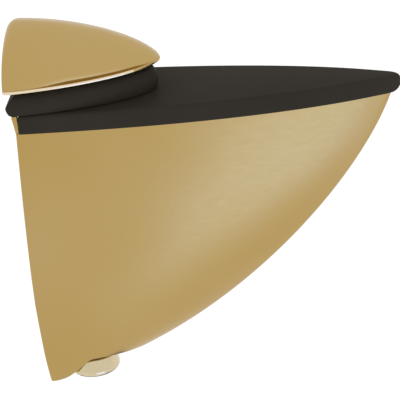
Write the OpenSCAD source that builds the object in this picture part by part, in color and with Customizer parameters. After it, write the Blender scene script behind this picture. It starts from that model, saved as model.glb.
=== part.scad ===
// Clamping shelf bracket: a hollow wing-shaped wall bracket whose short upper
// jaw is drawn down on the shelf by a screw under the wing.
// The wall is the plane x = 0, the bracket reaches out along +X, +Z is up.

/* [Wing] */
// Distance from the wall to the tip of the shelf rest
reach = 120; // [116:1:124]
// Height of the wing below the shelf plane
wing_h = 98.9; // [97:0.5:101]
// Overall width of the wing at its top
wing_w = 35.2; // [35:0.2:36.4]
// Width of the wing at its foot
foot_w = 16.5; // [16:0.5:18]
// Wall thickness of the castings
shell_t = 2.2; // [2:0.1:2.4]

/* [Shelf rest] */
// Thickness of the plastic shelf rest's top
rest_t = 2.4; // [2:0.1:2.6]
// Depth of the shelf rest's outer skirt, from its top face
skirt_h = 5.9; // [5.4:0.1:6.2]
// Overall width of the shelf rest
rest_w = 36.4; // [36:0.2:37]

/* [Jaw] */
// Length of the upper jaw
jaw_len = 47; // [45:0.5:50]
// Width of the upper jaw along its rim
jaw_w = 39.6; // [39:0.2:40.4]
// Height of the upper jaw above its rim, at the wall
jaw_h = 16.5; // [16:0.1:17]
// Height of the jaw's rim above the shelf plane when closed
jaw_gap = 7.9; // [7.8:0.05:8.5]
// Rise of the rim towards the jaw's nose, in degrees
jaw_tilt = 1.6; // [1.4:0.1:2.0]

/* [Clamp] */
// Distance of the clamp screw's axis from the wall
screw_x = 14.2; // [14:0.1:14.6]
// Nominal diameter of the clamp screw's thread
thread_d = 6; // [6:0.1:6]
// Diameter of the clamp screw's head
head_d = 16.6; // [16:0.1:16.8]
// Largest opening of the clamp
opening = 25; // [15:1:25]

/* [Wall plate] */
// Height of the shelf plane above the middle of the wall plate
shelf_z = 42; // [42:1:42]
// Distance between the two wall-screw holes, one above the other
hole_pitch = 28; // [24:1:30]
// Diameter of the wall-screw holes
hole_d = 4.6; // [4:0.1:5]
// Thickness of the wall plate
plate_t = 2.5; // [2:0.1:2.6]

/* [Hidden] */
$fn = 48;

gold = "#b89c62";
dark = "#38342f";
zinc = "#a9adb0";
nylon = "#e6e2d6";
bright = "#c9b37a";

e = 0.01;
NS = 20;                    // steps along one side of a plan outline
skirt_x = 3.9;              // rear end of the shelf rest
seat_z = 7.9 - wing_h;        // underside of the screw seat
keel_l = reach - 1.3;       // reach of the wing itself at the shelf plane
keel_d = wing_h + 1.4;      // depth at which the keel line would meet the wall
shank_r = thread_d/2;
stem_x0 = 4;                // clamp stem, rear face
stem_x1 = 7;                // clamp stem, front face
foot_z = seat_z + 20;       // underside of the stem's foot, clamp closed
shank_top = foot_z + 6 + opening + 4;

function clamp01(v) = min(1, max(0, v));
// a plan outline's half width at x, for full half width w and length l
function plan(x, w, l, p, q) = w*pow(max(0, 1 - pow(clamp01(x/l), p)), q);
// steps that crowd towards the nose
function u(i) = 1 - pow(1 - i/NS, 1.7);
// keel line: reach of the wing at depth z
function keel(z) = keel_l*pow(max(0, 1 - pow(clamp01(-z/keel_d), 1.352)), 0.637);
function keel_slope(z) = (keel(z + 0.5) - keel(z - 0.5));
// half width of the wing at its rear edge
function half(z) = foot_w/2 + (wing_w - foot_w)/2*(1 - pow(clamp01((-skirt_h - z)/(wing_h - skirt_h)), 2.5));
function smooth(t) = clamp01(t)*clamp01(t)*(3 - 2*clamp01(t));
// lower edge of the wing: the foot at the wall rises to the flat screw seat
function notch(x) = seat_z - 7.9*(1 - smooth(pow(clamp01((x - 0.6)/15.2), 1.45)));
// rear edge: on the wall low down, relieved towards the top
function rear(z) = 0.1 + 2.6*pow(clamp01((z + 68)/63), 1.15) + 0.5*pow(clamp01((-85 - z)/14), 2);

// closed outline at one level: rear x0, half width w, length l
function outline(x0, w, l, p, q) = concat(
    [for (i = [0:NS]) let (x = x0 + (l - x0)*u(i)) [x, -plan(x, w, l, p, q)]],
    [for (i = [NS-1:-1:0]) let (x = x0 + (l - x0)*u(i)) [x, plan(x, w, l, p, q)]]);
function lift(o, z) = [for (c = o) [c[0], c[1], z]];

// solid between a stack of outlines that all have the same number of points
module loft(rings) {
    n = len(rings[0]);
    m = len(rings);
    pts = [for (r = rings) each r];
    polyhedron(points = pts, faces = concat(
        [[for (i = [0:n-1]) i]],
        [[for (i = [n-1:-1:0]) (m-1)*n + i]],
        [for (k = [0:m-2]) for (i = [0:n-1]) let (j = (i+1) % n)
            [k*n + i, (k+1)*n + i, (k+1)*n + j, k*n + j]]), convexity = 6);
}

module bx(x0, x1, y0, y1, z0, z1) {
    translate([x0, y0, z0]) cube([x1-x0, y1-y0, z1-z0]);
}
module both() { children(); mirror([0, 1, 0]) children(); }
module at_shelf() { translate([0, 0, shelf_z]) children(); }
module cyl(x, y, z0, z1, r) { translate([x, y, z0]) cylinder(r = r, h = z1 - z0); }

// ---------------------------------------------------------------- wing
wing_levels = [for (i = [22:-1:0]) -skirt_h - (wing_h - skirt_h)*pow(i/22, 0.95)];

module wing_outer() {
    loft([for (z = wing_levels)
        lift(outline(rear(z), half(z), keel(z), 2.456, 0.797), z)]);
}
module wing_inner() {
    zs = concat([for (i = [12:-1:0]) -skirt_h - 1 - (-seat_z - 3.6 - skirt_h - 1)*i/12], [4]);
    loft([for (z = zs) let (d = min(z, -skirt_h - 1),
            l = keel(d) - shell_t*sqrt(1 + pow(keel_slope(d), 2)) - 1.2)
        lift(outline(-2, half(d) - shell_t, l, 2.456, 0.797), z)]);
}
// the top rim is stepped in so that the shelf rest's skirt fits round it
module wing_rim() {
    loft([for (z = [-skirt_h - 0.6, -skirt_h, -rest_t - 0.05])
        lift(outline(skirt_x + 0.2, rest_w/2 - 1.45, keel_l - 2.2, 2.456, 0.797), z)]);
}
module foot_arc() {
    // space under the wing in front of its foot
    translate([0, 30, 0]) rotate([90, 0, 0]) linear_extrude(60)
        polygon(concat([[60, seat_z]],
            [for (i = [0:20]) let (x = 15.8 - 15.2*i/20) [x, notch(x)]],
            [[-5, -wing_h - 0.1], [-5, -wing_h - 8], [60, -wing_h - 8]]));
    // room for the screw head between the sides of the foot
    translate([screw_x, 0, 0]) rotate_extrude() polygon([[0, seat_z], [head_d/2 - 0.4, seat_z],
        [head_d/2 - 0.4, seat_z - 2.2], [head_d/2 + 0.3, seat_z - 4.7], [head_d/2 + 0.3, seat_z - 9], [0, seat_z - 9]]);
}
module wing_casting() color(gold) at_shelf() difference() {
    union() {
        difference() {
            union() { wing_outer(); wing_rim(); }
            wing_inner();
            foot_arc();
        }
        // ears beside the rear ends of the shelf rest
        both() translate([0, -wing_w/2 + 2.3, 0]) rotate([90, 0, 0]) linear_extrude(2.05)
            polygon([[1.9, -0.15], [skirt_x - 0.25, -0.15], [skirt_x - 0.25, -skirt_h - 1], [2.8, -skirt_h - 1]]);
        // bridge behind the shelf rest that holds the stem guide
        both() bx(3.3, 12.6, 8.1, wing_w/2 - 1, -12.5, -6.5);
        bx(10.2, 12.6, -9, 9, -12.5, -6.5);
        // hanging ribs that hook over the wall plate's flanges
        both() bx(2.7, 12, 7.7, half(-36) - 1, -35.9, -30);
        // cross rib and boss for the shelf rest's screw
        bx(28.2, 30.8, -plan(30, wing_w/2, keel_l, 2.456, 0.797) + 1, plan(30, wing_w/2, keel_l, 2.456, 0.797) - 1, -15, -rest_t - 0.4);
        cyl(29.5, 0, -16, -rest_t - 0.1, 4);
        // stiffening rib across the front of the hollow
        bx(67, 69, -plan(69, half(-20), keel_l, 2.456, 0.797) + 1.4, plan(69, half(-20), keel_l, 2.456, 0.797) - 1.4, -14, -rest_t - 0.4);
        // seat boss round the clamp screw
        cyl(screw_x, 0, seat_z + 0.5, seat_z + 8, 6.9);
    }
    cyl(29.5, 0, -17, 0, 1.8);
    cyl(screw_x, 0, seat_z - 1, seat_z + 9, 4.55);
    // pockets for the hooks of the wall plate
    both() bx(5.8, 8.2, 7, 10.7, -36.5, -32.8);
}

// ---------------------------------------------------------------- shelf rest
module shelf_rest() color(dark) at_shelf() difference() {
    union() {
        difference() {
            loft([for (k = [[-skirt_h, 0.3, 2], [-skirt_h + 0.5, 0.04, 1.2], [-skirt_h + 1.3, 0, 0.5], [-skirt_h + 2.3, 0, 0],
                            [-1.6, 0, 0], [-0.5, 0.5, 0.8], [0, 1.5, 2.1]])
                lift(outline(skirt_x, rest_w/2 - k[1], reach - k[2], 2.456, 0.797), k[0])]);
            loft([for (z = [-skirt_h - 1, -rest_t])
                lift(outline(skirt_x - 1, rest_w/2 - 1.35, keel_l - 1.9, 2.456, 0.797), z)]);
        }
        // locating pegs
        for (x = [48, 84]) both() cyl(x, 8.5*(x < 60 ? 1 : 0.62), -9, -rest_t + 0.2, 1.6);
    }
    // way through for the clamp stem
    bx(skirt_x - 1, stem_x1 + 0.3, -5.4, 5.4, -9, 1);
    // countersunk hole
    cyl(29.5, 0, -9, 1, 1.9);
    translate([29.5, 0, -2.05]) cylinder(r1 = 1.9, r2 = 3.9, h = 2.06);
}
module rest_screw() color(zinc) at_shelf() difference() {
    translate([29.5, 0, 0]) rotate_extrude()
        polygon([[0, -14], [0.9, -14], [1.7, -12.6], [1.7, -2.2], [3.5, -0.35], [3.5, -0.15], [0, -0.15]]);
    translate([29.5, 0, -1]) both() for (a = [0, 90]) rotate(a) translate([-1.8, -0.35, -0.5]) cube([3.6, 0.7, 2]);
}

// ---------------------------------------------------------------- wall plate
module strip(y, z0, z1, t0, t1) {
    // upright strip with round ends, in the wall plane
    r = y;
    translate([t0, 0, 0]) rotate([90, 0, 90]) linear_extrude(t1 - t0) union() {
        translate([-y, z0 + r]) square([2*y, z1 - z0 - 2*r]);
        translate([0, z0 + r]) circle(r);
        translate([0, z1 - r]) circle(r);
    }
}
module wall_plate() color(zinc) difference() {
    union() {
        strip(8, -22, 22, 0, plate_t);
        // side flanges, each with an upstanding hook
        both() {
            bx(0, 8, 7.6, 10.2, -6, 6);
            bx(6, 8, 7.6, 10.2, -6, 8.9);
        }
    }
    for (s = [-1, 1]) translate([0, 0, s*hole_pitch/2]) rotate([0, 90, 0]) {
        translate([0, 0, -1]) cylinder(d = hole_d, h = plate_t + 2);
        translate([0, 0, plate_t - 1.4]) cylinder(r1 = hole_d/2, r2 = hole_d/2 + 2.1, h = 1.42);
    }
}

// ---------------------------------------------------------------- guide, bush
module stem_guide() color(nylon) at_shelf() difference() {
    union() {
        bx(3.3, 10.1, -8, 8, -13.3, -5.8);
        bx(8, 11.4, -8, 8, -6.4, -5.5);
        bx(8, 11.4, -8, 8, -13.6, -12.6);
    }
    bx(stem_x0 - 0.15, stem_x1 + 0.15, -5.15, 5.15, -20, 0);
    // the screw's head end is clear of the guide
    bx(8.3, 10.2, -6, 6, -11.8, -7.2);
}
module screw_bush() color(nylon) at_shelf() translate([screw_x, 0, 0]) difference() {
    union() {
        translate([0, 0, seat_z + 0.05]) cylinder(r = 4.5, h = 8.5);
        translate([0, 0, seat_z + 8.05]) cylinder(r = 6.3, h = 1.1);
    }
    translate([0, 0, seat_z - 2]) cylinder(r = shank_r + 0.06, h = 14);
}

// ---------------------------------------------------------------- clamp screw
module clamp_screw() color(bright) at_shelf() translate([screw_x, 0, 0]) difference() {
    rotate_extrude() polygon([
        [0, seat_z - 7.6], [3.2, seat_z - 7.6], [head_d/2 - 2.4, seat_z - 7.55], [head_d/2 - 1.2, seat_z - 7.35],
        [head_d/2 - 0.45, seat_z - 6.9], [head_d/2 - 0.08, seat_z - 6.3], [head_d/2, seat_z - 5.8], [head_d/2 - 0.1, seat_z - 5.1],
        [head_d/2 - 0.92, seat_z - 2], [head_d/2 - 1.1, seat_z - 1.6], [head_d/2 - 1.45, seat_z - 1.3], [head_d/2 - 1.9, seat_z - 1.2],
        [shank_r, seat_z - 1.2], [shank_r, seat_z + 9.35], [shank_r - 0.4, seat_z + 9.35],
        [shank_r - 0.4, seat_z + 10.55], [shank_r, seat_z + 10.55],
        [shank_r, shank_top - 1], [shank_r - 0.9, shank_top], [0, shank_top]]);
    // hexagon socket
    translate([0, 0, seat_z - 9]) cylinder(r = 2.9, h = 5.2, $fn = 6);
}
module seat_washer() color(zinc) at_shelf() translate([screw_x, 0, seat_z - 1.1]) difference() {
    cylinder(r = 6.2, h = 1.0);
    translate([0, 0, -1]) cylinder(r = 3.2, h = 3);
}
module retaining_ring() color(zinc) at_shelf() translate([screw_x, 0, seat_z + 9.45]) difference() {
    cylinder(r = 5, h = 1);
    translate([0, 0, -1]) cylinder(r = shank_r - 0.34, h = 3);
    translate([-1.3, 2.2, -1]) cube([2.6, 4, 3]);
}

// ---------------------------------------------------------------- upper jaw
function rim_z(x) = jaw_gap + tan(jaw_tilt)*x;
function jaw_b(x, l, w) = plan(x, w, l, 1.765, 0.53);
function jaw_a(x, l, h) = plan(x, h, l, 1.718, 0.695);
jaw_x = 0.7;                // rear face of the jaw
jaw_f = 0.7;                // how far the dome flares out at its rim
jaw_r = 3.3;                // rounding of the dome's rear edge
JN = 18;
// domed section at x, standing on the rim, over half width b and height a, flared by f at the rim
function jaw_ring(x, b, a, z0, f) = [for (i = [0:JN]) let (t = 180*i/JN, h = a*sin(t), s = sign(cos(t)))
    [x, abs(90 - t) < 0.01 ? 0 : s*(b*pow(abs(cos(t)), 1.238) + f*min(1, b/8)*exp(-h/3.1)), z0 + h]];
module jaw_outer() {
    x1 = jaw_x + jaw_r;
    xs = concat([jaw_x, jaw_x + 0.4, jaw_x + 1.4, x1], [for (i = [1:18]) x1 + (jaw_len - 0.12 - x1)*(1 - pow(1 - i/18, 1.8))]);
    loft([for (x = xs) let (c = x >= x1 ? 0 : jaw_r - sqrt(jaw_r*jaw_r - pow(x1 - x, 2)),
            b = jaw_b(x, jaw_len, jaw_w/2 - jaw_f), a = max(0.6, jaw_a(x, jaw_len, jaw_h)))
        jaw_ring(x, b - c*0.2, a - c, rim_z(x), jaw_f)]);
}
module jaw_inner() {
    xs = concat([3.1], [for (i = [1:10]) 3.1 + (jaw_len - 7.1)*(1 - pow(1 - i/10, 1.5))]);
    loft([for (x = xs) let (b = jaw_b(x, jaw_len - 2.5, jaw_w/2 - jaw_f - shell_t))
        concat(jaw_ring(x, b, max(1, jaw_a(x, jaw_len - 2.5, jaw_h - shell_t)), rim_z(x), 0),
               [[x, -b, rim_z(x) - 6], [x, b, rim_z(x) - 6]])]);
}
stem_holes = [11.3, 17];
module jaw_casting() color(gold) at_shelf() difference() {
    union() {
        difference() { jaw_outer(); jaw_inner(); }
        bx(2, stem_x0 - 0.05, -6.5, 6.5, jaw_gap + 0.5, jaw_gap + 12.4);
        cyl(20, 0, 11.6, 20.6, 3.4);
        both() bx(2.5, 14, 7.6, 9.2, jaw_gap + 3, jaw_gap + 10.8);
    }
    cyl(20, 0, 10, 18.5, 1.55);
    for (z = stem_holes) translate([0, 0, z]) rotate([0, 90, 0]) {
        translate([0, 0, -1]) cylinder(r = 1.6, h = 8);
        translate([0, 0, 0.2]) cylinder(r = 2.75, h = 1.05);
        translate([0, 0, 1.24]) cylinder(r1 = 2.75, r2 = 1.6, h = 1.2);
    }
}
// soft pad under the jaw: full section at mid height, round edges
module jaw_pad() color(dark) at_shelf() difference() {
    loft([for (k = [[0.1, 0.8, 0, 1.7], [0.5, 0.45, 0, 1.3], [2.0, 0.06, 0, 0.75], [2.9, 0, 0.1, 0.6], [4.2, 0.3, 0.5, 1.4],
                    [5.8, 1.4, 0.9, 3.1], [6.9, 2.9, 1, 4.9], [jaw_gap + 2, 2.9, 1, 5.2]])
        [for (c = outline(k[3], jaw_w/2 - 1.2 - k[1], jaw_len - 1.3 - k[1]*(k[1] > 2 ? 1.5 : 1), 1.765, 0.53))
            [c[0], c[1], k[0] + k[2]*tan(jaw_tilt)*c[0]]]]);
    bx(-1, stem_x1 + 0.3, -5.4, 5.4, -2, 12);
    bx(-1, stem_x0 + 0.2, -6.8, 6.8, jaw_gap + 0.2, 12);
    both() bx(-1, 14.3, 7.3, 9.5, jaw_gap + 1.2, 14);
    cyl(20, 0, -1, 14, 1.7);
    cyl(20, 0, -1, 3.2, 3.4);
}
module pad_screw() color(zinc) at_shelf() translate([20, 0, 0]) difference() {
    rotate_extrude() polygon([[0, 1.1], [2.4, 1.1], [3, 1.7], [3, 3.1], [1.5, 3.1], [1.5, 16.4], [0.8, 17.4], [0, 17.4]]);
    for (a = [0, 90]) rotate(a) translate([-1.6, -0.35, 0]) cube([3.2, 0.7, 2.1]);
}

// ---------------------------------------------------------------- clamp stem
module clamp_stem() color(zinc) at_shelf() difference() {
    union() {
        bx(stem_x0, stem_x1, -5, 5, foot_z, jaw_gap + 12.2);
        bx(stem_x0, screw_x + 6.6, -7, 7, foot_z, foot_z + 3);
        both() bx(stem_x1 + 1.8, screw_x + 5, 5.2, 6.8, foot_z + 2, foot_z + 5.4);
        // gusset in the bend, either side of the nut
        both() bx(stem_x1 - 1, stem_x1 + 1.6, 3.2, 5, foot_z + 2, foot_z + 6);
    }
    cyl(screw_x, 0, foot_z - 1, foot_z + 4, 3.4);
    for (z = stem_holes) translate([0, 0, z]) rotate([0, 90, 0]) cylinder(r = 1.56, h = 12);
}
module stem_screws() color(zinc) at_shelf() for (z = stem_holes) translate([0, 0, z]) rotate([0, 90, 0]) difference() {
    rotate_extrude() polygon([[0, 1], [2.6, 1], [2.6, 1.2], [1.5, 2.35], [1.5, 6.8], [1.2, 7.1], [0, 7.1]]);
    for (a = [0, 90]) rotate(a) translate([-1.5, -0.3, 0]) cube([3, 0.6, 1.9]);
}
module clamp_nut() color(zinc) at_shelf() translate([screw_x, 0, foot_z + 3.05]) difference() {
    intersection() {
        translate([-5, -5, 0]) cube([10, 10, 5]);
        cylinder(r = 6.6, h = 5);
    }
    translate([0, 0, -1]) cylinder(r = shank_r + 0.06, h = 8);
    translate([0, 0, -0.01]) cylinder(r1 = shank_r + 0.7, r2 = shank_r + 0.06, h = 0.7);
    translate([0, 0, 4.31]) cylinder(r1 = shank_r + 0.06, r2 = shank_r + 0.7, h = 0.7);
}

wing_casting();
shelf_rest();
rest_screw();
wall_plate();
stem_guide();
screw_bush();
clamp_screw();
seat_washer();
retaining_ring();
jaw_casting();
jaw_pad();
pad_screw();
clamp_stem();
stem_screws();
clamp_nut();
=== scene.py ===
import math

import bmesh
import bpy
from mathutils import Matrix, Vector


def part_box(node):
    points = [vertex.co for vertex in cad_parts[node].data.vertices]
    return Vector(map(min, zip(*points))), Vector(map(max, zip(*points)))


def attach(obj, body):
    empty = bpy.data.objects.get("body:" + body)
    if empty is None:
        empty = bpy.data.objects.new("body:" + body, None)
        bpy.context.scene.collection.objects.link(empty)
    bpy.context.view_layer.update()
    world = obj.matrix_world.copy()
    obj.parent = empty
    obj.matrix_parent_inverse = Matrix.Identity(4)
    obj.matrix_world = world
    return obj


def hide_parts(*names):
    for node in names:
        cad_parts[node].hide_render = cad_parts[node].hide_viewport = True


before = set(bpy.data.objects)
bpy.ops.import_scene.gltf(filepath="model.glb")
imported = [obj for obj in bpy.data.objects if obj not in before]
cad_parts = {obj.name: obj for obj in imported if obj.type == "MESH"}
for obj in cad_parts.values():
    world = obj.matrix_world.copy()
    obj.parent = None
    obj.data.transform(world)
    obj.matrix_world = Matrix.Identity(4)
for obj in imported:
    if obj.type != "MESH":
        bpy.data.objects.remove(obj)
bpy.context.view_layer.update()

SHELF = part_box("shelf_rest")[1].z * 1000.0      # shelf plane, mm in the row frame
AXIS = (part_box("clamp_screw")[0].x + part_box("clamp_screw")[1].x) * 500.0   # clamp screw's axis, mm
HEAD_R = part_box("clamp_screw")[1].y * 1000.0   # clamp screw's head

# ------------------------------------------------------------------ camera
def camera():
    az, el, roll = math.radians(7.434), math.radians(25.199), math.radians(6.135)
    right = Vector((math.cos(az), math.sin(az), 0))
    back = Vector((math.sin(az) * math.cos(el), -math.cos(az) * math.cos(el), math.sin(el)))
    up = back.cross(right)
    cr = right * math.cos(roll) - up * math.sin(roll)
    cu = right * math.sin(roll) + up * math.cos(roll)
    tgt = Vector((55, 0, SHELF - 35))
    dist, f = 698.74, 2217.0
    loc = tgt + back * dist
    aim = tgt - cu * (13.34 * dist / f) + cr * (0.28 * dist / f)
    b = (loc - aim).normalized()
    r = (cr - b * cr.dot(b)).normalized()
    u = b.cross(r)
    cam = bpy.data.cameras.new("camera")
    cam.lens = f / 400 * 36
    cam.sensor_width = 36
    cam.clip_start = 0.01
    cam.clip_end = 50
    ob = bpy.data.objects.new("camera", cam)
    m = ob.matrix_world.to_3x3()
    m.col[0], m.col[1], m.col[2] = r, u, b
    ob.matrix_world = m.to_4x4()
    ob.location = loc / 1000
    bpy.context.scene.collection.objects.link(ob)
    bpy.context.scene.camera = ob
camera()

# ------------------------------------------------------------------ shape rules, mm from the shelf plane
REACH, WING_H, WING_W, FOOT_W, T = 120.0, 98.9, 35.2, 16.5, 2.2
SKIRT_H, REST_T, REST_W, SKIRT_X = 5.9, 2.4, 36.4, 3.9
JAW_L, JAW_W, JAW_H, JAW_GAP, JAW_TILT = 47.0, 39.55, 16.5, 7.9, math.tan(math.radians(1.6))
JAW_X, JAW_F, JAW_R = 0.7, 0.7, 3.3
HOLES = (11.3, 17.0)
SEAT = 7.9 - WING_H
KEEL_L, KEEL_D = REACH - 1.3, WING_H + 1.4
P, Q = 2.456, 0.797
PJ, QJ = 1.765, 0.53
PA, QA = 1.718, 0.695

def c01(v): return min(1.0, max(0.0, v))
def smooth(t): t = c01(t); return t * t * (3 - 2 * t)
def plan(x, w, l, p=P, q=Q): return w * max(0.0, 1 - c01(x / l) ** p) ** q
def plan_r(x, w, l, p=P, q=Q, nose=0.6):
    y, d = plan(x, w, l, p, q), max(0.0, l - x)
    return math.sqrt(y * y + 2 * nose * d * math.exp(-d / (2.5 * nose)))
def keel(z): return KEEL_L * max(0.0, 1 - c01(-z / KEEL_D) ** 1.352) ** 0.637
def half(z): return FOOT_W / 2 + (WING_W - FOOT_W) / 2 * (1 - c01((-SKIRT_H - z) / (WING_H - SKIRT_H)) ** 2.5)
def rear(z): return 0.1 + 2.6 * c01((z + 68) / 63) ** 1.15 + 0.5 * c01((-85 - z) / 14) ** 2
def notch(x): return SEAT - 7.9 * (1 - smooth(c01((x - 0.6) / 15.2) ** 1.45))

def half_outline(x0, w, l, n, r=0.0, p=P, q=Q, nose=0.6, rs=5):
    """One side of a plan outline (y <= 0), from its rear corner to its nose."""
    pts = []
    if r > 0:
        for k in range(rs):
            t = math.pi / 2 * k / rs
            pts.append((x0 + r - r * math.cos(t), -(w - r + r * math.sin(t))))
    for i in range(n + 1):
        s = 1 - (1 - i / n) ** 1.7
        x = x0 + r + (l - x0 - r) * s
        pts.append((x, -plan_r(x, w, l, p, q, nose)))
    pts[-1] = (l, 0.0)
    return pts

# ------------------------------------------------------------------ mesh helpers
def make(name, verts, faces, at_shelf=True):
    dz = SHELF if at_shelf else 0.0
    me = bpy.data.meshes.new(name)
    me.from_pydata([((x) / 1000, y / 1000, (z + dz) / 1000) for x, y, z in verts], [], faces)
    bm = bmesh.new()
    bm.from_mesh(me)
    bmesh.ops.remove_doubles(bm, verts=bm.verts, dist=1e-6)
    bmesh.ops.recalc_face_normals(bm, faces=bm.faces)
    bm.to_mesh(me)
    bm.free()
    ob = bpy.data.objects.new(name, me)
    bpy.context.scene.collection.objects.link(ob)
    return ob

def stack(name, rows):
    """Closed solid from rows of half outlines [(x, y, z)] with y <= 0 that end on y = 0; mirrored about y = 0."""
    n = len(rows[0])
    verts, faces = [], []
    for row in rows:
        verts += [tuple(p) for p in row] + [(x, -y, z) for x, y, z in row[:-1]]
    m = 2 * n - 1
    def near(k, j): return k * m + j
    def far(k, j): return k * m + (n + j if j < n - 1 else n - 1)
    for k in range(len(rows) - 1):
        for j in range(n - 1):
            faces.append((near(k, j), near(k, j + 1), near(k + 1, j + 1), near(k + 1, j)))
            faces.append((far(k, j), far(k + 1, j), far(k + 1, j + 1), far(k, j + 1)))
        faces.append((near(k, 0), near(k + 1, 0), far(k + 1, 0), far(k, 0)))
    for k in (0, len(rows) - 1):
        for j in range(n - 2):
            faces.append((near(k, j), near(k, j + 1), far(k, j + 1), far(k, j)))
        faces.append((near(k, n - 2), near(k, n - 1), far(k, n - 2)))
    return make(name, verts, faces)

def bx(name, x0, x1, y0, y1, z0, z1, r=0.0, at_shelf=True):
    v = [(x, y, z) for z in (z0, z1) for y in (y0, y1) for x in (x0, x1)]
    f = [(0, 2, 3, 1), (4, 5, 7, 6), (0, 1, 5, 4), (2, 6, 7, 3), (0, 4, 6, 2), (1, 3, 7, 5)]
    ob = make(name, v, f, at_shelf)
    if r:
        bm = bmesh.new(); bm.from_mesh(ob.data)
        bmesh.ops.bevel(bm, geom=list(bm.edges), offset=r / 1000, segments=3, profile=0.5, affect="EDGES")
        bm.to_mesh(ob.data); bm.free()
    return ob

def lathe(name, prof, cx, cy=0.0, n=64, at_shelf=True, axis="z"):
    """Solid of revolution from a profile [(r, z)] that starts and ends on the axis."""
    verts, faces = [], []
    idx = []
    for r, z in prof:
        if r < 1e-9:
            idx.append([len(verts)] * n); verts.append((cx, cy, z))
        else:
            idx.append([len(verts) + i for i in range(n)])
            verts += [(cx + r * math.cos(2 * math.pi * i / n), cy + r * math.sin(2 * math.pi * i / n), z) for i in range(n)]
    for k in range(len(prof) - 1):
        for i in range(n):
            a, b, c, d = idx[k][i], idx[k][(i + 1) % n], idx[k + 1][(i + 1) % n], idx[k + 1][i]
            f = []
            for q in (a, b, c, d):
                if q not in f: f.append(q)
            if len(f) > 2: faces.append(f)
    return make(name, verts, faces, at_shelf)

def cyl(name, x, y, z0, z1, r, n=48, at_shelf=True):
    return lathe(name, [(0, z0), (r, z0), (r, z1), (0, z1)], x, y, n, at_shelf)

def cut(ob, tool, op="DIFFERENCE"):
    m = ob.modifiers.new("b", "BOOLEAN")
    m.operation, m.object, m.solver = op, tool, "EXACT"
    dg = bpy.context.evaluated_depsgraph_get()
    dg.update()
    me = bpy.data.meshes.new_from_object(ob.evaluated_get(dg))
    ob.modifiers.clear()
    old = ob.data
    ob.data = me
    me.name = ob.name
    bpy.data.meshes.remove(old)
    tm = tool.data
    bpy.data.objects.remove(tool)
    bpy.data.meshes.remove(tm)
    return ob

def soften(ob, width, angle=40.0, seg=2, where=None):
    """Rounds the sharp edges of a solid by a small radius."""
    bm = bmesh.new(); bm.from_mesh(ob.data)
    bmesh.ops.remove_doubles(bm, verts=bm.verts, dist=2e-6)
    bmesh.ops.dissolve_degenerate(bm, edges=bm.edges, dist=2e-6)
    es = [e for e in bm.edges if len(e.link_faces) == 2 and e.calc_face_angle(0) > math.radians(angle)
          and (where is None or where((e.verts[0].co + e.verts[1].co) * 500))]
    if es:
        bmesh.ops.bevel(bm, geom=es, offset=width / 1000, segments=seg, profile=0.5, affect="EDGES", clamp_overlap=True)
    bm.to_mesh(ob.data); bm.free()
    return ob

def finish_mesh(ob, angle=32):
    me = ob.data
    bm = bmesh.new(); bm.from_mesh(me)
    bmesh.ops.remove_doubles(bm, verts=bm.verts, dist=1e-6)
    bmesh.ops.dissolve_degenerate(bm, edges=bm.edges, dist=1e-6)
    bm.to_mesh(me); bm.free()
    me.polygons.foreach_set("use_smooth", [True] * len(me.polygons))
    me.set_sharp_from_angle(angle=math.radians(angle))
    me.update()
    return ob

# ------------------------------------------------------------------ materials
def new_mat(name):
    m = bpy.data.materials.new(name)
    m.use_nodes = True
    nt = m.node_tree
    b = nt.nodes["Principled BSDF"]
    return m, nt, b

def add(nt, kind, **kw):
    n = nt.nodes.new(kind)
    for k, v in kw.items():
        if k in n.inputs: n.inputs[k].default_value = v
        else: setattr(n, k, v)
    return n

def ramp(nt, src, stops):
    r = nt.nodes.new("ShaderNodeValToRGB")
    el = r.color_ramp.elements
    el[0].position, el[0].color = stops[0][0], (*stops[0][1], 1)
    el[1].position, el[1].color = stops[-1][0], (*stops[-1][1], 1)
    for p, c in stops[1:-1]:
        x = el.new(p); x.color = (*c, 1)
    nt.links.new(src, r.inputs["Fac"])
    return r

def coords(nt, scale=(1, 1, 1)):
    tc = nt.nodes.new("ShaderNodeTexCoord")
    mp = nt.nodes.new("ShaderNodeMapping")
    mp.inputs["Scale"].default_value = scale
    nt.links.new(tc.outputs["Object"], mp.inputs["Vector"])
    return mp.outputs["Vector"]

def satin_gold(name, stops):
    m, nt, b = new_mat(name)
    L = nt.links.new
    b.inputs["Metallic"].default_value = 1.0
    # slow drift of the plating's tint
    drift = add(nt, "ShaderNodeTexNoise", Scale=14.0, Detail=2.0, Roughness=0.5)
    L(coords(nt), drift.inputs["Vector"])
    r = ramp(nt, drift.outputs["Fac"], [(0.30, stops[0]), (0.52, stops[1]), (0.72, stops[2])])
    L(r.outputs["Color"], b.inputs["Base Color"])
    # fine satin grain, drawn out along the reach
    grain = add(nt, "ShaderNodeTexNoise", Scale=900.0, Detail=3.0, Roughness=0.6)
    L(coords(nt, (0.12, 1, 1)), grain.inputs["Vector"])
    rr = add(nt, "ShaderNodeMapRange")
    rr.inputs["From Min"].default_value, rr.inputs["From Max"].default_value = 0.3, 0.7
    rr.inputs["To Min"].default_value, rr.inputs["To Max"].default_value = GOLD_ROUGH - 0.03, GOLD_ROUGH + 0.05
    L(grain.outputs["Fac"], rr.inputs["Value"])
    L(rr.outputs["Result"], b.inputs["Roughness"])
    wave = add(nt, "ShaderNodeTexNoise", Scale=45.0, Detail=2.0)
    L(coords(nt), wave.inputs["Vector"])
    b1 = add(nt, "ShaderNodeBump", Strength=0.12, Distance=0.00004)
    L(grain.outputs["Fac"], b1.inputs["Height"])
    b2 = add(nt, "ShaderNodeBump", Strength=0.10, Distance=0.00025)
    L(wave.outputs["Fac"], b2.inputs["Height"])
    L(b1.outputs["Normal"], b2.inputs["Normal"])
    L(b2.outputs["Normal"], b.inputs["Normal"])
    return m

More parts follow.
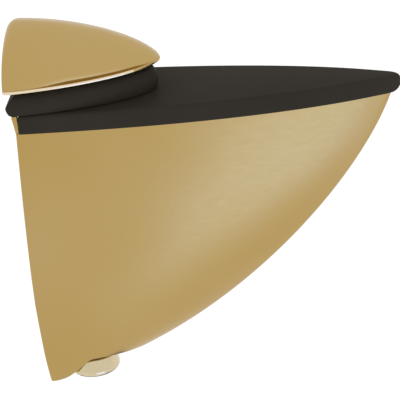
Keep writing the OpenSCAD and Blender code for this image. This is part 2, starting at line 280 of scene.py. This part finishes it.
def polished(name, colour, rough, grain_scale=1400.0, bump=0.03):
    m, nt, b = new_mat(name)
    L = nt.links.new
    b.inputs["Metallic"].default_value = 1.0
    n = add(nt, "ShaderNodeTexNoise", Scale=grain_scale, Detail=2.0)
    L(coords(nt), n.inputs["Vector"])
    r = ramp(nt, n.outputs["Fac"], [(0.35, tuple(c * 0.93 for c in colour)), (0.65, colour)])
    L(r.outputs["Color"], b.inputs["Base Color"])
    rr = add(nt, "ShaderNodeMapRange")
    rr.inputs["To Min"].default_value, rr.inputs["To Max"].default_value = rough * 0.8, rough * 1.2
    L(n.outputs["Fac"], rr.inputs["Value"])
    L(rr.outputs["Result"], b.inputs["Roughness"])
    bp = add(nt, "ShaderNodeBump", Strength=bump, Distance=0.00003)
    L(n.outputs["Fac"], bp.inputs["Height"])
    L(bp.outputs["Normal"], b.inputs["Normal"])
    return m

def plastic(name, dark, light, rough, bump=0.25, scale=2600.0, spec=0.5):
    m, nt, b = new_mat(name)
    L = nt.links.new
    b.inputs["Specular IOR Level"].default_value = spec
    big = add(nt, "ShaderNodeTexNoise", Scale=30.0, Detail=2.0)
    L(coords(nt), big.inputs["Vector"])
    r = ramp(nt, big.outputs["Fac"], [(0.35, dark), (0.68, light)])
    L(r.outputs["Color"], b.inputs["Base Color"])
    grain = add(nt, "ShaderNodeTexNoise", Scale=scale, Detail=2.0)
    L(coords(nt), grain.inputs["Vector"])
    rr = add(nt, "ShaderNodeMapRange")
    rr.inputs["To Min"].default_value, rr.inputs["To Max"].default_value = rough - 0.06, rough + 0.06
    L(grain.outputs["Fac"], rr.inputs["Value"])
    L(rr.outputs["Result"], b.inputs["Roughness"])
    bp = add(nt, "ShaderNodeBump", Strength=bump, Distance=0.00005)
    L(grain.outputs["Fac"], bp.inputs["Height"])
    L(bp.outputs["Normal"], b.inputs["Normal"])
    return m

GOLD_ROUGH = 0.30
M_GOLD = satin_gold("satin_gold", ((0.425, 0.280, 0.084), (0.442, 0.300, 0.104), (0.455, 0.318, 0.128)))
M_JAW = satin_gold("satin_gold_jaw", ((0.470, 0.318, 0.110), (0.488, 0.340, 0.130), (0.500, 0.360, 0.158)))
# rim bead: the lower roughness is its real polish, and the lighter base colour is a painted highlight
M_RIM_PAINTED_HIGHLIGHT = polished("polished_rim_painted_highlight", (0.80, 0.67, 0.47), 0.18)
M_SCREW = polished("polished_gold", (0.64, 0.54, 0.35), 0.11)
M_ZINC = polished("zinc_steel", (0.56, 0.57, 0.58), 0.32, 700.0, 0.12)
M_BLACK = plastic("black_plastic", (0.031, 0.0265, 0.020), (0.035, 0.0300, 0.0235), 0.48, spec=0.012)
M_NYLON = plastic("nylon", (0.66, 0.63, 0.55), (0.72, 0.69, 0.61), 0.45)

def paint(ob, *mats):
    ob.data.materials.clear()
    for m in mats: ob.data.materials.append(m)

# ------------------------------------------------------------------ wing
N = 110
M = 84

def wing_outer():
    z_top, rf = -SKIRT_H, 0.55
    def at(z, j, cache={}):
        key = round(z, 5)
        if key not in cache:
            cache[key] = half_outline(rear(z), half(z), keel(z), N, 0.7)
        return cache[key][j]
    cols = len(half_outline(rear(-9), half(-9), keel(-9), N, 0.7))
    zb = []
    for j in range(cols):
        z = SEAT
        for _ in range(40):
            z = 0.5 * z + 0.5 * notch(at(z, j)[0])
        zb.append(z)
    rows = []
    for k in range(M + 1):
        v = (k / M) ** 0.95
        row = []
        for j in range(cols):
            z = z_top + (zb[j] + rf - z_top) * v
            x, y = at(z, j)
            row.append((x, y, z))
        rows.append(row)
    base = [(*at(zb[j], j), zb[j]) for j in range(cols)]
    for s in (1, 2, 3, 4, 5):
        t = math.pi / 2 * s / 5
        row = []
        for j in range(cols):
            a, c = base[max(0, j - 1)], base[min(cols - 1, j + 1)]
            tx, ty = c[0] - a[0], c[1] - a[1]
            if j == cols - 1: nx, ny = -1.0, 0.0
            elif j == 0: nx, ny = 1.0, 0.0
            else:
                ln = math.hypot(tx, ty) or 1.0
                nx, ny = -ty / ln, tx / ln
            ins = rf * (1 - math.cos(t))
            z = zb[j] + rf * (1 - math.sin(t))
            x, y = at(z, j)
            y2 = y + ny * ins
            row.append((x + nx * ins, min(0.0, y2) if j < cols - 1 else 0.0, z))
        rows.append(row)
    return stack("wing", rows)

def wing_inner():
    rows = []
    zs = [4.0] + [-SKIRT_H - 1 - (-SEAT - 3.6 - SKIRT_H - 1) * i / 40 for i in range(41)]
    for z in zs:
        d = min(z, -SKIRT_H - 1)
        l = keel(d) - T * math.sqrt(1 + (keel(d + 0.5) - keel(d - 0.5)) ** 2) - 1.2
        rows.append([(x, y, z) for x, y in half_outline(-2, half(d) - T, l, 50, 0, nose=1.2)])
    return stack("hollow", rows)

def wing():
    ob = wing_outer()
    rim = stack("rim", [[(x, y, z) for x, y in half_outline(SKIRT_X + 0.2, REST_W / 2 - 1.45, KEEL_L - 2.2, 60)]
                        for z in (-REST_T - 0.05, -SKIRT_H, -SKIRT_H - 0.6)])
    cut(ob, rim, "UNION")
    cut(ob, wing_inner())
    for s in (-1, 1):
        y0, y1 = sorted((s * (WING_W / 2 - 0.25), s * (WING_W / 2 - 2.3)))
        ear = [(1.9, -0.35), (2.15, -0.15), (SKIRT_X - 0.25, -0.15), (SKIRT_X - 0.25, -SKIRT_H - 1), (2.8, -SKIRT_H - 1)]
        v = [(x, y, z) for y in (y0, y1) for x, z in ear]
        m = len(ear)
        cut(ob, soften(make("t", v, [list(range(m)), list(range(m, 2 * m))] +
                            [(i, (i + 1) % m, m + (i + 1) % m, m + i) for i in range(m)]), 0.22), "UNION")
        y0, y1 = sorted((s * 8.1, s * (WING_W / 2 - 1)))
        cut(ob, bx("t", 3.3, 12.6, y0, y1, -12.5, -6.5, 0.5), "UNION")
        y0, y1 = sorted((s * 7.7, s * (half(-36) - 1)))
        cut(ob, bx("t", 2.7, 12, y0, y1, -35.9, -30, 0.5), "UNION")
    cut(ob, bx("t", 10.2, 12.6, -9, 9, -12.5, -6.5, 0.4), "UNION")
    w = plan(30, WING_W / 2, KEEL_L) - 1
    cut(ob, bx("t", 28.2, 30.8, -w, w, -15, -REST_T - 0.4, 0.4), "UNION")
    w = plan(69, half(-20), KEEL_L) - 1.4
    cut(ob, bx("t", 67, 69, -w, w, -14, -REST_T - 0.4, 0.4), "UNION")
    cut(ob, cyl("t", 29.5, 0, -16, -REST_T - 0.1, 4), "UNION")
    cut(ob, cyl("t", AXIS, 0, SEAT + 0.5, SEAT + 8, 6.9), "UNION")
    cut(ob, cyl("t", 29.5, 0, -17, 0, 1.8))
    # room for the screw head between the sides of the foot
    h = HEAD_R
    cut(ob, lathe("t", [(0, SEAT), (h - 0.4, SEAT), (h - 0.4, SEAT - 2.2), (h + 0.3, SEAT - 4.7), (h + 0.3, SEAT - 9), (0, SEAT - 9)], AXIS, 0, 96))
    cut(ob, cyl("t", AXIS, 0, SEAT - 1, SEAT + 9, 4.55))
    for s in (-1, 1):
        y0, y1 = sorted((s * 7, s * 10.7))
        cut(ob, bx("t", 5.8, 8.2, y0, y1, -36.5, -32.8))
    finish_mesh(ob, 30)
    paint(ob, M_GOLD)
    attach(ob, "wing"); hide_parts("wing_casting")
    return ob
wing()

# ------------------------------------------------------------------ shelf rest
def shelf_rest():
    prof = [(-SKIRT_H, 0.35, 2.05), (-SKIRT_H + 0.08, 0.18, 1.8), (-SKIRT_H + 0.3, 0.06, 1.45), (-SKIRT_H + 0.6, 0.0, 1.1),
            (-SKIRT_H + 1.0, 0.0, 0.75), (-SKIRT_H + 1.5, 0.0, 0.4), (-SKIRT_H + 2.1, 0.0, 0.1), (-SKIRT_H + 2.6, 0.0, 0.0), (-1.5, 0.0, 0.0)]
    for k in range(1, 9):
        t = math.pi / 2 * k / 8
        prof.append((-1.5 + 1.5 * math.sin(t), 1.5 * (1 - math.cos(t)), 2.1 * (1 - math.cos(t))))
    rows = []
    for z, ins, tip in prof:
        rows.append([(x, y, z) for x, y in half_outline(SKIRT_X + 0.3 * ins, REST_W / 2 - ins, REACH - tip, N, 0.5, nose=0.9)])
    ob = stack("shelf_rest_cap", rows)
    cut(ob, stack("t", [[(x, y, z) for x, y in half_outline(SKIRT_X - 1, REST_W / 2 - 1.35, KEEL_L - 1.9, 60)]
                        for z in (-SKIRT_H - 1, -REST_T)]))
    for x in (48, 84):
        for s in (-1, 1):
            cut(ob, cyl("t", x, s * 8.5 * (1 if x < 60 else 0.62), -9, -REST_T + 0.2, 1.6, 32), "UNION")
    cut(ob, bx("t", SKIRT_X - 1, 7.3, -5.4, 5.4, -9, 1))
    cut(ob, lathe("t", [(0, -9), (1.9, -9), (1.9, -2.05), (3.95, 0.05), (3.95, 1), (0, 1)], 29.5, 0, 48))
    finish_mesh(ob, 30)
    paint(ob, M_BLACK)
    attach(ob, "wing"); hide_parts("shelf_rest")
shelf_rest()

# ------------------------------------------------------------------ upper jaw
def rim_z(x): return JAW_GAP + JAW_TILT * x
LIP, TUCK = 1.0, 1.15

def dome(t, b, a):
    """Point of the dome's half section: distance from the middle plane and height over the rim."""
    c = math.cos(t)
    return (b * c ** 1.238 if c > 1e-6 else 0.0), a * math.sin(t)

def jaw_section(x, b, a, n):
    """Half of the section (y <= 0) at x, from the rim up to the crown."""
    k = min(1.0, b / 8.0)
    f = JAW_F * k
    lip = LIP * min(1.0, a / 2.5)
    tuck = TUCK * k * min(1.0, a / 6.0) * (0.25 + 0.75 * smooth((x - 8) / 14.0)) * smooth((x - 0.7) / 4.0)
    br = b + f
    z0 = rim_z(x)
    r = 0.38
    pts = [(br - r, 0.0)]
    for i in range(1, 7):
        t = math.pi / 2 * i / 6
        pts.append((br - r + r * math.sin(t), r * (1 - math.cos(t)) * lip / LIP))
    pts += [(br, lip - r)]
    for i in range(1, 6):
        t = math.pi / 2 * i / 5
        pts.append((br - r * (1 - math.cos(t)), lip - r + r * math.sin(t)))
    out = [(x, -max(0.0, y), z0 + z) for y, z in pts]
    t0 = math.asin(min(0.9, lip / a))
    for i in range(0, n + 1):
        t = t0 + (math.pi / 2 - t0) * (i / n)
        y, z = dome(t, b, a)
        y += f * math.exp(-z / 3.1)
        y -= tuck * math.exp(-((z - lip) / 1.9)) * (1 - (z - lip) / max(0.1, a - lip))
        out.append((x, -max(0.0, y), z0 + z))
    x_, y_, z_ = out[-1]
    out[-1] = (x_, 0.0, z_)
    return out

def jaw_outer(name="jaw"):
    n = 44
    R, xa = JAW_R, JAW_X
    xs = [xa + d for d in (0.0, 0.06, 0.22, 0.5, 0.9, 1.4, 2.0, 2.65, R)]
    m = 84
    x1 = xa + R
    xs += [x1 + (JAW_L - x1) * (1 - (1 - i / m) ** 2.0) for i in range(1, m)] + [JAW_L - 0.03]
    secs = []
    for x in xs:
        c = 0.0 if x >= x1 else R - math.sqrt(max(0.0, R * R - (x1 - x) ** 2))
        b = max(0.25, plan_r(x, JAW_W / 2 - JAW_F, JAW_L, PJ, QJ, 0.4)) - c * 0.2
        a = max(0.9, plan_r(x, JAW_H, JAW_L, PA, QA, 0.4)) - c
        secs.append(jaw_section(x, b, a, n))
    verts, faces = [], []
    w = len(secs[0])
    for s in secs:
        verts += s + [(x, -y, z) for x, y, z in s[:-1]]
    mm = 2 * w - 1
    def near(k, j): return k * mm + j
    def far(k, j): return k * mm + (w + j if j < w - 1 else w - 1)
    for k in range(len(secs) - 1):
        for j in range(w - 1):
            faces.append((near(k, j), near(k, j + 1), near(k + 1, j + 1), near(k + 1, j)))
            faces.append((far(k, j), far(k + 1, j), far(k + 1, j + 1), far(k, j + 1)))
        faces.append((near(k, 0), near(k + 1, 0), far(k + 1, 0), far(k, 0)))
    for k in (0, len(secs) - 1):
        for j in range(w - 2):
            faces.append((near(k, j), near(k, j + 1), far(k, j + 1), far(k, j)))
        faces.append((near(k, w - 2), near(k, w - 1), far(k, w - 2)))
    return make(name, verts, faces)

def jaw_inner():
    n = 20
    xs = [3.1] + [3.1 + (JAW_L - 7.1) * (1 - (1 - i / 30) ** 1.5) for i in range(1, 31)]
    secs = []
    for x in xs:
        b = plan(x, JAW_W / 2 - JAW_F - T, JAW_L - 2.5, PJ, QJ)
        a = max(1.0, plan(x, JAW_H - T, JAW_L - 2.5, PA, QA))
        z0 = rim_z(x)
        s = [(x, -b, z0 - 6)]
        for i in range(n + 1):
            y, z = dome(math.pi / 2 * i / n, b, a)
            s.append((x, -y, z0 + z))
        s[-1] = (x, 0.0, s[-1][2])
        secs.append(s)
    verts, faces = [], []
    w = len(secs[0])
    for s in secs:
        verts += s + [(x, -y, z) for x, y, z in s[:-1]]
    mm = 2 * w - 1
    def near(k, j): return k * mm + j
    def far(k, j): return k * mm + (w + j if j < w - 1 else w - 1)
    for k in range(len(secs) - 1):
        for j in range(w - 1):
            faces.append((near(k, j), near(k, j + 1), near(k + 1, j + 1), near(k + 1, j)))
            faces.append((far(k, j), far(k + 1, j), far(k + 1, j + 1), far(k, j + 1)))
        faces.append((near(k, 0), near(k + 1, 0), far(k + 1, 0), far(k, 0)))
    for k in (0, len(secs) - 1):
        for j in range(w - 2):
            faces.append((near(k, j), near(k, j + 1), far(k, j + 1), far(k, j)))
        faces.append((near(k, w - 2), near(k, w - 1), far(k, w - 2)))
    return make("t", verts, faces)

def across(name, prof, z, n=48):
    """Solid of revolution about the line along X at height z; prof is [(r, x)]."""
    ob = lathe(name, [(r, x) for r, x in prof], 0, 0, n, at_shelf=False)
    for v in ob.data.vertices:
        x, y, zz = v.co
        v.co = (zz, y, -x + (z + SHELF) / 1000)
    bm = bmesh.new(); bm.from_mesh(ob.data)
    bmesh.ops.recalc_face_normals(bm, faces=bm.faces)
    bm.to_mesh(ob.data); bm.free()
    return ob

def jaw():
    ob = jaw_outer()
    cut(ob, jaw_inner())
    cut(ob, bx("t", 2, 3.95, -6.5, 6.5, JAW_GAP + 0.5, JAW_GAP + 12.4, 0.3), "UNION")
    cut(ob, cyl("t", 20, 0, 11.6, 20.6, 3.4), "UNION")
    for s in (-1, 1):
        y0, y1 = sorted((s * 7.6, s * 9.2))
        cut(ob, bx("t", 2.5, 14, y0, y1, JAW_GAP + 3, JAW_GAP + 10.8, 0.3), "UNION")
    cut(ob, cyl("t", 20, 0, 10, 18.5, 1.55))
    for z in HOLES:
        cut(ob, across("t", [(0, -1), (2.75, -1), (2.75, 1.25), (1.6, 2.44), (1.6, 7), (0, 7)], z))
    finish_mesh(ob, 28)
    paint(ob, M_JAW, M_RIM_PAINTED_HIGHLIGHT)
    # the narrow bead along the rim is polished; its lighter colour is a painted highlight
    for p in ob.data.polygons:
        c = p.center * 1000
        if c.x < 40 and abs(c.z - SHELF - rim_z(c.x)) < LIP * 0.98 and abs(c.y) > plan(c.x, JAW_W / 2 - JAW_F, JAW_L, PJ, QJ) - 0.5:
            p.material_index = 1
    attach(ob, "jaw"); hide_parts("jaw_casting")
jaw()

# ------------------------------------------------------------------ jaw pad
def jaw_pad():
    keys = [(0.1, 0.9, 0, 2.0), (0.16, 0.72, 0, 1.75), (0.32, 0.55, 0, 1.5), (0.6, 0.4, 0, 1.25), (1.1, 0.25, 0, 1.0), (2.0, 0.06, 0, 0.72), (2.7, 0, 0.1, 0.62),
            (3.3, 0.04, 0.2, 0.78), (4.2, 0.3, 0.5, 1.4), (5.0, 0.75, 0.7, 2.2), (5.8, 1.4, 0.9, 3.1), (6.4, 2.1, 1, 4.0), (6.9, 2.9, 1, 4.9),
            (JAW_GAP + 2, 2.9, 1, 5.2)]
    rows = []
    for z, ins, s, x0 in keys:
        rows.append([(x, y, z + s * JAW_TILT * x) for x, y in
                     half_outline(x0, JAW_W / 2 - 1.2 - ins, JAW_L - 1.3 - ins * (1.5 if ins > 2 else 1), N, 0.8, PJ, QJ, 0.8)])
    ob = stack("pad", rows)
    cut(ob, bx("t", -1, 7.3, -5.4, 5.4, -2, 12))
    cut(ob, bx("t", -1, 4.2, -6.8, 6.8, JAW_GAP + 0.2, 12))
    for s in (-1, 1):
        y0, y1 = sorted((s * 7.3, s * 9.5))
        cut(ob, bx("t", -1, 14.3, y0, y1, JAW_GAP + 1.2, 14))
    cut(ob, cyl("t", 20, 0, -1, 14, 1.7))
    cut(ob, cyl("t", 20, 0, -1, 3.2, 3.4))
    finish_mesh(ob, 30)
    paint(ob, M_BLACK)
    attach(ob, "jaw"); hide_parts("jaw_pad")
jaw_pad()

# ------------------------------------------------------------------ clamp screw
def clamp_screw():
    R = HEAD_R
    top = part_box("clamp_screw")[1].z * 1000 - SHELF
    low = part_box("clamp_screw")[0].z * 1000 - SHELF
    prof = [(0, low), (3.0, low), (3.3, low + 0.03), (R - 2.6, low + 0.06)]
    for r, z in ((1.9, 7.5), (1.3, 7.38), (0.85, 7.18), (0.48, 6.9), (0.22, 6.55), (0.06, 6.18), (0, 5.8), (0.03, 5.45), (0.12, 5.05),
                 (0.4, 4.0), (0.66, 3.0), (0.84, 2.3), (0.94, 1.95), (1.1, 1.62), (1.32, 1.38), (1.6, 1.25), (1.95, 1.2)):
        prof.append((R - r, SEAT - z))
    prof += [(3.0, SEAT - 1.2), (3.0, SEAT + 9.35), (2.6, SEAT + 9.4), (2.6, SEAT + 10.5), (2.55, SEAT + 10.6)]
    ob = lathe("screw_head", prof + [(0, SEAT + 10.6)], AXIS, 0, 96)
    # hexagon socket
    cut(ob, lathe("t", [(0, SEAT - 9), (2.9, SEAT - 9), (2.9, SEAT - 3.8), (0, SEAT - 3.4)], AXIS, 0, 6))
    soften(ob, 0.12, 50, 2, lambda c: c.z < SHELF + SEAT - 3 and math.hypot(c.x - AXIS, c.y) < 3.3)
    finish_mesh(ob, 40)
    paint(ob, M_SCREW)
    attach(ob, "screw"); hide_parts("clamp_screw")
    # threaded length: one right-hand helix of 1 mm pitch
    n, pitch = 40, 1.0
    z0, z1 = SEAT + 10.6, top
    turns = int((z1 - z0) / pitch)
    per = 6
    verts, faces = [], []
    rows = turns * per + 1
    for k in range(rows):
        for i in range(n):
            z = z0 + k * pitch / per
            ph = (k / per - i / n) % 1.0
            tri = abs(ph - 0.5) * 2
            r = 2.42 + 0.57 * smooth(c01(tri * 1.35 - 0.15))
            fade = c01((z - z0) / 0.8) * c01((z1 - z) / 1.2)
            r = 2.42 + (r - 2.42) * fade
            a = 2 * math.pi * i / n
            verts.append((AXIS + r * math.cos(a), r * math.sin(a), z))
    for k in range(rows - 1):
        for i in range(n):
            j = (i + 1) % n
            faces.append((k * n + i, k * n + j, (k + 1) * n + j, (k + 1) * n + i))
    faces.append(list(range(n - 1, -1, -1)))
    faces.append([(rows - 1) * n + i for i in range(n)])
    th = make("screw_thread", verts, faces)
    finish_mesh(th, 50)
    paint(th, M_ZINC)
    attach(th, "screw")
clamp_screw()

# ------------------------------------------------------------------ carried-over CAD nodes
for node, mat in {"rest_screw": M_ZINC, "wall_plate": M_ZINC, "stem_guide": M_NYLON, "screw_bush": M_NYLON,
                  "seat_washer": M_ZINC, "retaining_ring": M_ZINC, "pad_screw": M_ZINC, "clamp_stem": M_ZINC,
                  "stem_screws": M_ZINC, "clamp_nut": M_ZINC}.items():
    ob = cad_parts[node]
    ob.data.materials.clear()
    ob.data.materials.append(mat)

# ------------------------------------------------------------------ floor and light
def floor():
    me = bpy.data.meshes.new("floor")
    s = 6.0
    me.from_pydata([(-s, -s, -0.9), (s, -s, -0.9), (s, s, -0.9), (-s, s, -0.9)], [], [(0, 1, 2, 3)])
    ob = bpy.data.objects.new("floor", me)
    bpy.context.scene.collection.objects.link(ob)
    m, nt, b = new_mat("floor")
    n = add(nt, "ShaderNodeTexNoise", Scale=3.0, Detail=1.0)
    nt.links.new(coords(nt), n.inputs["Vector"])
    r = ramp(nt, n.outputs["Fac"], [(0.3, (0.90, 0.90, 0.90)), (0.7, (0.92, 0.92, 0.92))])
    nt.links.new(r.outputs["Color"], b.inputs["Base Color"])
    b.inputs["Roughness"].default_value = 0.9
    b.inputs["Specular IOR Level"].default_value = 0.0
    b.inputs["Emission Color"].default_value = (1.0, 1.0, 1.0, 1)
    b.inputs["Emission Strength"].default_value = 0.16
    ob.data.materials.append(m)
floor()

def card(name, pts, grey):
    """Dark card beside the set that is seen only in the polished screw head."""
    me = bpy.data.meshes.new(name)
    me.from_pydata([(x / 1000, y / 1000, z / 1000) for x, y, z in pts], [], [tuple(range(len(pts)))])
    ob = bpy.data.objects.new(name, me)
    bpy.context.scene.collection.objects.link(ob)
    m, nt, b = new_mat(name)
    b.inputs["Base Color"].default_value = (grey, grey * 0.92, grey * 0.8, 1)
    b.inputs["Roughness"].default_value = 1.0
    b.inputs["Specular IOR Level"].default_value = 0.0
    ob.data.materials.append(m)
    ob.visible_camera = False
    ob.visible_diffuse = False
    ob.visible_shadow = False
HZ = SHELF + SEAT - 4
card("card_low", [(2, -4, HZ - 17), (27, -4, HZ - 17), (27, 24, HZ - 17), (2, 24, HZ - 17)], 0.10)

def area(name, loc, look, size, power, colour=(1, 1, 1)):
    li = bpy.data.lights.new(name, "AREA")
    li.shape = "RECTANGLE"
    li.size, li.size_y = size
    li.energy = power
    li.color = colour
    ob = bpy.data.objects.new(name, li)
    ob.location = loc
    d = Vector(look) - Vector(loc)
    ob.rotation_euler = d.to_track_quat("-Z", "Y").to_euler()
    bpy.context.scene.collection.objects.link(ob)
    return ob

world = bpy.data.worlds.new("world")
bpy.context.scene.world = world
world.use_nodes = True
bg = world.node_tree.nodes["Background"]
bg.inputs["Color"].default_value = (1.0, 1.0, 1.0, 1)
bg.inputs["Strength"].default_value = 1.0
area("sky", (0.37, -0.60, -0.44), (0.09, 0, 0), (0.5, 0.42), 1.15, (0.18, 0.36, 1.0))

sc = bpy.context.scene
sc.view_settings.view_transform = "Standard"
sc.view_settings.look = "None"
sc.view_settings.exposure = 0.0
sc.view_settings.gamma = 1.0
